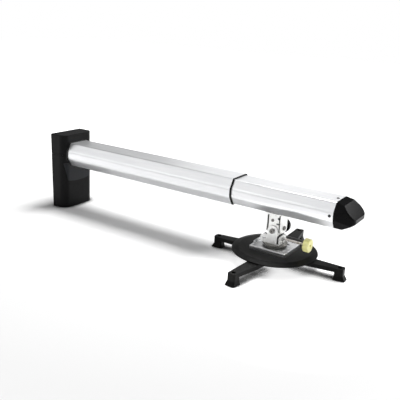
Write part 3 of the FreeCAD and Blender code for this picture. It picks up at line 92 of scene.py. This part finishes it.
def set_up_camera():
    backward = Vector((math.sin(CAMERA_TURN) * math.cos(CAMERA_DROP),
                       -math.cos(CAMERA_TURN) * math.cos(CAMERA_DROP),
                       math.sin(CAMERA_DROP)))
    level_right = Vector((math.cos(CAMERA_TURN), math.sin(CAMERA_TURN), 0))
    level_up = backward.cross(level_right)
    right = level_right * math.cos(CAMERA_ROLL) + level_up * math.sin(CAMERA_ROLL)
    up = level_up * math.cos(CAMERA_ROLL) - level_right * math.sin(CAMERA_ROLL)
    lens = bpy.data.cameras.new("studio_camera")
    lens.lens = CAMERA_LENS
    lens.sensor_width = CAMERA_SENSOR
    lens.clip_start = CAMERA_NEAR_END
    camera = bpy.data.objects.new("studio_camera", lens)
    camera.matrix_world = Matrix((right, up, backward)).transposed().to_4x4()
    camera.matrix_world.translation = CAMERA_SPOT
    bpy.context.scene.collection.objects.link(camera)
    bpy.context.scene.camera = camera
    bpy.context.scene.view_settings.view_transform = "Standard"


def new_finish(name):
    """A material with only its shader, and the tree to which more is added."""
    finish = bpy.data.materials.new(name)
    finish.use_nodes = True
    return finish, finish.node_tree, finish.node_tree.nodes["Principled BSDF"]


def distance_from(tree, spot):
    """How far each point of a surface is from a spot."""
    place = tree.nodes.new("ShaderNodeTexCoord")
    away = tree.nodes.new("ShaderNodeVectorMath")
    away.operation = "DISTANCE"
    away.inputs[1].default_value = spot
    tree.links.new(place.outputs["Object"], away.inputs[0])
    return away.outputs["Value"]


def rescale(tree, driver, start, end, low=0.0, high=1.0, course="LINEAR"):
    """Turn a number that goes from start to end into one that goes from low to high."""
    spread = tree.nodes.new("ShaderNodeMapRange")
    spread.interpolation_type = course
    spread.inputs["From Min"].default_value = start
    spread.inputs["From Max"].default_value = end
    spread.inputs["To Min"].default_value = low
    spread.inputs["To Max"].default_value = high
    tree.links.new(driver, spread.inputs["Value"])
    return spread.outputs["Result"]


def reckon(tree, operation, one, other):
    """Add or multiply one number with another, or with a plain value."""
    both = tree.nodes.new("ShaderNodeMath")
    both.operation = operation
    tree.links.new(one, both.inputs[0])
    if isinstance(other, float):
        both.inputs[1].default_value = other
    else:
        tree.links.new(other, both.inputs[1])
    return both.outputs["Value"]


def white_paper():
    """Paper that glows more further out, so that it has no horizon. Its colour carries a
    painted contact shadow, darker in a narrow band where something stands on it, and a
    painted glow under the boom's end takes the boom's own shadow away there, as the
    photograph does."""
    paper, tree, shader = new_finish("white_paper")
    shader.inputs["Roughness"].default_value = 1.0
    shader.inputs["Specular IOR Level"].default_value = 0.0
    shader.inputs["Emission Color"].default_value = (1, 1, 1, 1)
    near = tree.nodes.new("ShaderNodeAmbientOcclusion")
    near.samples = CONTACT_RAYS
    near.inputs["Distance"].default_value = CONTACT_REACH
    open_air = rescale(tree, near.outputs["AO"], CONTACT_CLOSED, CONTACT_OPEN,
                       low=CONTACT_LIGHT_LEFT)
    far_light = rescale(tree, distance_from(tree, FAR_LIGHT_MIDDLE), FAR_LIGHT_START,
                        FAR_LIGHT_FULL, high=FAR_LIGHT, course="SMOOTHSTEP")
    end_glow = rescale(tree, distance_from(tree, END_GLOW_MIDDLE), END_GLOW_EDGE,
                       END_GLOW_FULL, high=END_GLOW, course="SMOOTHSTEP")
    # Painted light under the boom's end, dimmed inside the painted contact shadow.
    lift = reckon(tree, "MULTIPLY", end_glow, open_air)
    tree.links.new(reckon(tree, "ADD", far_light, lift), shader.inputs["Emission Strength"])
    # Painted shadow: the paper's colour is darkened near things standing on it.
    tree.links.new(reckon(tree, "MULTIPLY", open_air, PAPER_WHITE),
                   shader.inputs["Base Color"])
    return paper


def lay_floor():
    mesh = bpy.data.meshes.new("studio_floor")
    corners = [(-FLOOR_HALF, -FLOOR_HALF), (FLOOR_HALF, -FLOOR_HALF),
               (FLOOR_HALF, FLOOR_HALF), (-FLOOR_HALF, FLOOR_HALF)]
    mesh.from_pydata([(x, y, FLOOR_LEVEL) for x, y in corners], [], [(0, 1, 2, 3)])
    floor = bpy.data.objects.new("studio_floor", mesh)
    bpy.context.scene.collection.objects.link(floor)
    mesh.materials.append(white_paper())


def hang_lamp(name, spot, aim, width, height, power):
    """A soft box whose width lies along the boom as far as its aim lets it."""
    lamp = bpy.data.lights.new(name, "AREA")
    lamp.shape = "RECTANGLE"
    lamp.size = width
    lamp.size_y = height
    lamp.energy = power
    away = (Vector(spot) - Vector(aim)).normalized()
    along = Vector((1, 0, 0)) - away * away.x
    along.normalize()
    holder = bpy.data.objects.new(name, lamp)
    holder.matrix_world = Matrix((along, away.cross(along), away)).transposed().to_4x4()
    holder.matrix_world.translation = Vector(spot)
    bpy.context.scene.collection.objects.link(holder)


def light_the_air():
    """White behind the product, dimmer for everything that the air lights."""
    air = bpy.data.worlds.new("studio_air")
    air.use_nodes = True
    tree = air.node_tree
    glow = tree.nodes["Background"]
    glow.inputs["Color"].default_value = (1, 1, 1, 1)
    path = tree.nodes.new("ShaderNodeLightPath")
    strength = rescale(tree, path.outputs["Is Camera Ray"], 0.0, 1.0, low=AIR_LIGHT)
    tree.links.new(strength, glow.inputs["Strength"])
    bpy.context.scene.world = air


set_up_camera()
lay_floor()
light_the_air()
for lamp in LAMPS:
    hang_lamp(*lamp)


# Wall plate and boom bracket: laser-cut and folded steel, black powder coated.
# The plate bolts to the wall, the bracket is welded up and screwed to the plate,
# and the covers hide both.
def speckle(tree, scale, detail, stretch=(1, 1, 1)):
    """Noise in the part's own coordinates."""
    place = tree.nodes.new("ShaderNodeTexCoord")
    spread = tree.nodes.new("ShaderNodeMapping")
    spread.inputs["Scale"].default_value = stretch
    noise = tree.nodes.new("ShaderNodeTexNoise")
    noise.inputs["Scale"].default_value = scale
    noise.inputs["Detail"].default_value = detail
    tree.links.new(place.outputs["Object"], spread.inputs["Vector"])
    tree.links.new(spread.outputs["Vector"], noise.inputs["Vector"])
    return noise.outputs["Fac"]


def add_grain(tree, shader, scale, depth, stretch=(1, 1, 1), detail=6):
    """Fine surface relief. Its noise can lead the colour and the sheen too."""
    noise = speckle(tree, scale, detail, stretch)
    relief = tree.nodes.new("ShaderNodeBump")
    relief.inputs["Distance"].default_value = depth
    relief.inputs["Strength"].default_value = 1.0
    tree.links.new(noise, relief.inputs["Height"])
    tree.links.new(relief.outputs["Normal"], shader.inputs["Normal"])
    return noise


def add_shades(tree, driver, socket, low, high, start=0.3, end=0.7):
    """Lead a noise through a ramp into a colour or a number."""
    ramp = tree.nodes.new("ShaderNodeValToRGB")
    ramp.color_ramp.elements[0].position = start
    ramp.color_ramp.elements[1].position = end
    grey = isinstance(low, float)
    ramp.color_ramp.elements[0].color = (low, low, low, 1) if grey else (*low, 1)
    ramp.color_ramp.elements[1].color = (high, high, high, 1) if grey else (*high, 1)
    tree.links.new(driver, ramp.inputs["Fac"])
    tree.links.new(ramp.outputs["Color"], socket)


def dress(finish, *names):
    """Give CAD nodes a finish."""
    for name in names:
        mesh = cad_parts[name].data
        mesh.materials.clear()
        mesh.materials.append(finish)


def black_powder_coat():
    finish, tree, shader = new_finish("black_powder_coat")
    noise = add_grain(tree, shader, scale=1400, depth=0.00006)
    add_shades(tree, noise, shader.inputs["Base Color"],
               (0.008, 0.008, 0.009), (0.016, 0.016, 0.017))
    shader.inputs["Roughness"].default_value = 0.55
    return finish


dress(black_powder_coat(), "wall_plate", "boom_bracket")


# Covers: two injection-moulded halves in black ABS with a fine spark-eroded texture.
# The upper one hangs on the plate, the lower one is screwed from beneath, and they
# meet in a shadow line at the height of the boom's axis.
def soft_patches(tree, scale, detail):
    """Broad noise over a whole part, for colour that isn't quite even."""
    patches = tree.nodes.new("ShaderNodeTexNoise")
    patches.inputs["Scale"].default_value = scale
    patches.inputs["Detail"].default_value = detail
    return patches.outputs["Fac"]


def black_moulding():
    finish, tree, shader = new_finish("black_moulding")
    noise = add_grain(tree, shader, scale=2200, depth=0.00004)
    add_shades(tree, soft_patches(tree, scale=18, detail=3), shader.inputs["Base Color"],
               (0.003, 0.003, 0.0032), (0.006, 0.006, 0.0063))
    add_shades(tree, noise, shader.inputs["Roughness"], 0.4, 0.52)
    shader.inputs["Specular IOR Level"].default_value = 0.11
    return finish


moulding = black_moulding()
dress(moulding, "cover_upper", "cover_lower", "mouth_bush", "tail_glide")


# Collar round the tube: a soft moulded ring of black rubber. It is pushed over the
# tube and closes the gap between the tube and the covers.
def black_rubber():
    finish, tree, shader = new_finish("black_rubber")
    noise = add_grain(tree, shader, scale=600, depth=0.00005)
    add_shades(tree, noise, shader.inputs["Base Color"],
               (0.004, 0.004, 0.004), (0.009, 0.009, 0.009))
    shader.inputs["Roughness"].default_value = 0.75
    return finish


dress(black_rubber(), "tube_collar")


# Bib under the tube: a separate moulded trim, a little smoother and bluer than the
# covers, clipped to the lower cover's front.
def blue_black_moulding():
    finish, tree, shader = new_finish("blue_black_moulding")
    noise = add_grain(tree, shader, scale=2600, depth=0.00003)
    add_shades(tree, noise, shader.inputs["Base Color"],
               (0.008, 0.009, 0.011), (0.013, 0.014, 0.017))
    shader.inputs["Roughness"].default_value = 0.38
    shader.inputs["Specular IOR Level"].default_value = 0.2
    return finish


dress(blue_black_moulding(), "front_bib")


# Boom: two eight-sided aluminium extrusions, one in the other, bead-blasted and
# clear anodised. The die leaves faint lines along them.
ALONG_THE_BOOM = (0.02, 1, 1)


def satin_aluminium():
    finish, tree, shader = new_finish("satin_aluminium")
    noise = add_grain(tree, shader, scale=260, depth=0.00001, stretch=ALONG_THE_BOOM,
                      detail=4)
    add_shades(tree, soft_patches(tree, scale=9, detail=5), shader.inputs["Base Color"],
               (0.86, 0.87, 0.885), (0.91, 0.915, 0.925))
    add_shades(tree, noise, shader.inputs["Roughness"], 0.3, 0.4)
    shader.inputs["Metallic"].default_value = 0.9
    return finish


dress(satin_aluminium(), "outer_tube", "inner_tube")


# End cap: a black nose, moulded in one piece with a glossy skin. It is pushed into the
# boom's end and held by three small screws.
def gloss_black():
    finish, tree, shader = new_finish("gloss_black")
    noise = add_grain(tree, shader, scale=40, depth=0.000004, detail=1)
    add_shades(tree, noise, shader.inputs["Base Color"],
               (0.0012, 0.0012, 0.0014), (0.0024, 0.0024, 0.0028))
    shader.inputs["Roughness"].default_value = 0.24
    shader.inputs["Specular IOR Level"].default_value = 0.07
    return finish


dress(gloss_black(), "end_cap")


# Screws, nuts, washers, pins and spacers: turned and cold-headed steel, bright zinc
# plated. They hold the bracket, the covers, the head and the arms together.
# Painted shade: corners, gaps and recesses are darkened in the base colour by ambient
# occlusion.
CORNER_RAYS = 8
CORNER_SHADE_COLOUR = (0.008, 0.008, 0.007, 1)
CORNER_CLOSED = 0.34
CORNER_OPEN = 0.6


def paint_corner_shade(tree, shader, reach):
    """Paint shade into the colour in corners and gaps: darker there, over a short reach."""
    painted = shader.inputs["Base Color"].links[0].from_socket
    corner = tree.nodes.new("ShaderNodeAmbientOcclusion")
    corner.samples = CORNER_RAYS
    corner.inputs["Distance"].default_value = reach
    fade = tree.nodes.new("ShaderNodeValToRGB")
    fade.color_ramp.elements[0].position = CORNER_CLOSED
    fade.color_ramp.elements[0].color = CORNER_SHADE_COLOUR
    fade.color_ramp.elements[1].position = CORNER_OPEN
    mix = tree.nodes.new("ShaderNodeMix")
    mix.data_type = "RGBA"
    mix.blend_type = "MULTIPLY"
    mix.inputs["Factor"].default_value = 1.0
    tree.links.new(corner.outputs["AO"], fade.inputs["Fac"])
    tree.links.new(painted, mix.inputs["A"])
    tree.links.new(fade.outputs["Color"], mix.inputs["B"])
    tree.links.new(mix.outputs["Result"], shader.inputs["Base Color"])


def bright_zinc():
    finish, tree, shader = new_finish("bright_zinc")
    noise = speckle(tree, scale=120, detail=2)
    add_shades(tree, noise, shader.inputs["Base Color"],
               (0.6, 0.6, 0.6), (0.76, 0.76, 0.77))
    add_shades(tree, noise, shader.inputs["Roughness"], 0.22, 0.34)
    # Painted shade in the screws' corners and recesses.
    paint_corner_shade(tree, shader, reach=0.003)
    shader.inputs["Metallic"].default_value = 1
    return finish


dress(bright_zinc(), "bracket_screws", "boom_bolts", "cover_screws", "nut_plate",
      "head_screws", "tilt_washers", "cross_pin", "swivel_bolt", "swivel_nut",
      "rod_collars", "tilt_nut", "tray_spacers", "front_arm_screw", "outer_arm_screw",
      "back_arm_screw", "wall_arm_screw")


# Head bolts, rivets and tray screws: hardened steel, oiled, darker than the plates they
# hold, with bright specks where the oil is worn off.
def oiled_steel():
    finish, tree, shader = new_finish("oiled_steel")
    noise = speckle(tree, scale=700, detail=2)
    add_shades(tree, noise, shader.inputs["Base Color"],
               (0.1, 0.1, 0.095), (0.34, 0.33, 0.31))
    add_shades(tree, noise, shader.inputs["Roughness"], 0.26, 0.4)
    # Painted shade in corners and gaps.
    paint_corner_shade(tree, shader, reach=0.004)
    shader.inputs["Metallic"].default_value = 1
    return finish


oiled = oiled_steel()
dress(oiled, "roll_bolts", "tie_bolt", "tilt_bolt", "swivel_rivets", "tray_screws")


# Cap screws: three small socket screws through the boom's end, blackened in an oxide
# bath, so that they show as dark dots on the bright tube.
def black_oxide():
    finish, tree, shader = new_finish("black_oxide")
    noise = add_grain(tree, shader, scale=900, depth=0.00002)
    add_shades(tree, noise, shader.inputs["Base Color"],
               (0.01, 0.01, 0.011), (0.03, 0.03, 0.032))
    shader.inputs["Roughness"].default_value = 0.35
    shader.inputs["Metallic"].default_value = 0.8
    return finish


dress(black_oxide(), "cap_screws")


# Head brackets: yoke, cross block and tilt bracket, folded and punched from 3 mm
# steel. They are zinc plated like the screws, but paler and softer in their shine.
def plated_sheet():
    finish, tree, shader = new_finish("plated_sheet")
    noise = speckle(tree, scale=45, detail=3)
    add_shades(tree, noise, shader.inputs["Base Color"],
               (0.9, 0.9, 0.885), (0.95, 0.95, 0.935))
    add_shades(tree, noise, shader.inputs["Roughness"], 0.36, 0.46)
    # Painted shade: the gaps between the brackets and their inner faces are darkened.
    paint_corner_shade(tree, shader, reach=0.014)
    shader.inputs["Metallic"].default_value = 0.65
    return finish


dress(plated_sheet(), "yoke", "cross_block", "tilt_bracket")


# Tilt screw: a bright steel rod with a rolled M6 thread, held by two collars and turned
# by the yellow knob. Its outer end has a hexagon socket that shows in the knob's face.
THREAD_PITCH = 0.001
THREAD_DEPTH = 0.0006
THREAD_FLANK = 1.25
THREAD_ROOT = 0.15
END_CHAMFER = THREAD_DEPTH / 3
ROUND_STEPS = 28
STEPS_A_TURN = 8
SOCKET_RADIUS = 0.0022
SOCKET_DEPTH = 0.005


def rolled_steel():
    finish, tree, shader = new_finish("rolled_steel")
    noise = speckle(tree, scale=300, detail=2)
    add_shades(tree, noise, shader.inputs["Base Color"],
               (0.78, 0.74, 0.71), (0.9, 0.86, 0.83))
    add_shades(tree, noise, shader.inputs["Roughness"], 0.24, 0.34)
    # Painted shade in the thread's grooves and the hexagon socket.
    paint_corner_shade(tree, shader, reach=0.008)
    shader.inputs["Metallic"].default_value = 1
    return finish


def threaded_rod():
    low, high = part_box("tilt_rod")
    middle_y, middle_z = (low[1] + high[1]) / 2, (low[2] + high[2]) / 2
    outer = (high[2] - low[2]) / 2
    form = bmesh.new()

    def ring(x, radius_at):
        row = []
        for step in range(ROUND_STEPS):
            angle = 2 * math.pi * step / ROUND_STEPS
            radius = radius_at(angle)
            row.append(form.verts.new((x, middle_y + radius * math.cos(angle),
                                       middle_z + radius * math.sin(angle))))
        return row

    def skin(one, other):
        for step in range(len(one)):
            after = (step + 1) % len(one)
            form.faces.new((one[step], one[after], other[after], other[step]))

    def crest(x):
        """The thread's radius round the rod at x. It runs out at both ends."""
        run_out = min(1, max(0, x - low[0]) / THREAD_PITCH,
                      max(0, high[0] - x) / THREAD_PITCH)

        def radius_at(angle):
            turn = ((x - low[0]) / THREAD_PITCH - angle / (2 * math.pi)) % 1
            groove = max(0, abs(2 * turn - 1) * THREAD_FLANK - THREAD_ROOT)
            return outer - THREAD_DEPTH * (1 - min(1, groove)) * run_out
        return radius_at

    def flat_sided(angle):
        """The radius of the hexagon socket."""
        return SOCKET_RADIUS / math.cos((angle + math.pi / 6) % (math.pi / 3) - math.pi / 6)

    rows = [ring(low[0], lambda angle: outer - THREAD_DEPTH)]
    steps = int(round((high[0] - low[0]) / THREAD_PITCH * STEPS_A_TURN))
    for step in range(1, steps):
        x = low[0] + (high[0] - low[0]) * step / steps
        rows.append(ring(x, crest(x)))
    rows.append(ring(high[0], lambda angle: outer - END_CHAMFER))
    form.faces.new(rows[0])
    rows.append(ring(high[0], flat_sided))
    rows.append(ring(high[0] - SOCKET_DEPTH, flat_sided))
    for one, other in zip(rows, rows[1:]):
        skin(one, other)
    form.faces.new(rows[-1])
    bmesh.ops.recalc_face_normals(form, faces=form.faces)
    mesh = bpy.data.meshes.new("threaded_tilt_rod")
    form.to_mesh(mesh)
    form.free()
    rod = bpy.data.objects.new("threaded_tilt_rod", mesh)
    bpy.context.scene.collection.objects.link(rod)
    mesh.materials.append(rolled_steel())
    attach(rod, "tilt_adjuster")
    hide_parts("tilt_rod")


threaded_rod()


# Tilt knob: moulded in pale yellow plastic with six flutes for the fingers. It is
# pressed onto the tilt screw's outer end.
def pale_yellow():
    finish, tree, shader = new_finish("pale_yellow")
    noise = add_grain(tree, shader, scale=500, depth=0.00003)
    add_shades(tree, noise, shader.inputs["Base Color"],
               (0.98, 0.92, 0.38), (0.99, 0.94, 0.46))
    shader.inputs["Roughness"].default_value = 0.42
    shader.inputs["Subsurface Weight"].default_value = 0.3
    shader.inputs["Subsurface Radius"].default_value = (0.002, 0.002, 0.001)
    return finish


dress(pale_yellow(), "tilt_knob")


# Clamp knob: black moulded dish with a steel ring pressed over its rim. The ring is
# chromed on its outer face only, and black behind it.
CHROMED_PART = 0.12
CHROME_EDGE = 0.0003


def bright_chrome():
    finish, tree, shader = new_finish("bright_chrome")
    noise = speckle(tree, scale=60, detail=2)
    add_shades(tree, noise, shader.inputs["Roughness"], 0.1, 0.16)
    low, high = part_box("lock_rim")
    chrome_start = high[1] - (high[1] - low[1]) * CHROMED_PART
    place = tree.nodes.new("ShaderNodeTexCoord")
    parts = tree.nodes.new("ShaderNodeSeparateXYZ")
    tree.links.new(place.outputs["Object"], parts.inputs["Vector"])
    bright = rescale(tree, parts.outputs["Y"], chrome_start, chrome_start + CHROME_EDGE)
    add_shades(tree, bright, shader.inputs["Base Color"],
               (0.004, 0.004, 0.004), (0.6, 0.61, 0.63), start=0.0, end=1.0)
    tree.links.new(bright, shader.inputs["Metallic"])
    shader.inputs["Specular IOR Level"].default_value = 0.15
    return finish


dress(moulding, "lock_knob")
dress(bright_chrome(), "lock_rim")


# Spacers at the roll bolts, and the friction ring under the turn plate: turned from
# natural nylon, milky white, with painted shade that darkens it where other parts close
# over it.
def milky_nylon():
    finish, tree, shader = new_finish("milky_nylon")
    noise = add_grain(tree, shader, scale=300, depth=0.00002)
    add_shades(tree, noise, shader.inputs["Base Color"],
               (0.7, 0.69, 0.64), (0.78, 0.77, 0.72))
    # Painted shade: the nylon is darkened in corners and gaps over a long reach.
    paint_corner_shade(tree, shader, reach=0.02)
    shader.inputs["Roughness"].default_value = 0.4
    return finish


dress(milky_nylon(), "friction_ring", "roll_spacers")


# Slide tray: a pressed steel plate, zinc plated but greyer, brushed along its length.
# The turn plate above it is riveted to the tilt bracket and oiled.
ALONG_THE_TRAY = (0.04, 1, 1)


def brushed_tray():
    finish, tree, shader = new_finish("brushed_tray")
    noise = speckle(tree, scale=420, detail=3, stretch=ALONG_THE_TRAY)
    add_shades(tree, noise, shader.inputs["Base Color"],
               (0.55, 0.56, 0.58), (0.86, 0.86, 0.85), start=0.35, end=0.65)
    add_shades(tree, noise, shader.inputs["Roughness"], 0.26, 0.4)
    # Painted shade in the tray's slots, holes and corners.
    paint_corner_shade(tree, shader, reach=0.004)
    shader.inputs["Metallic"].default_value = 1
    return finish


dress(brushed_tray(), "slide_tray")
dress(oiled, "swivel_plate")


# Round plate and its four arms: aluminium castings in a matte black textured coat.
# The plate hangs on the swivel bolt, and each arm is clamped under it by its screw.
def matte_black_casting():
    finish, tree, shader = new_finish("matte_black_casting")
    noise = add_grain(tree, shader, scale=1100, depth=0.00012)
    add_shades(tree, noise, shader.inputs["Base Color"],
               (0.003, 0.003, 0.0028), (0.009, 0.009, 0.0085))
    add_shades(tree, noise, shader.inputs["Roughness"], 0.36, 0.5)
    shader.inputs["Specular IOR Level"].default_value = 0.08
    return finish


dress(matte_black_casting(), "disc", "front_arm", "outer_arm", "back_arm", "wall_arm")
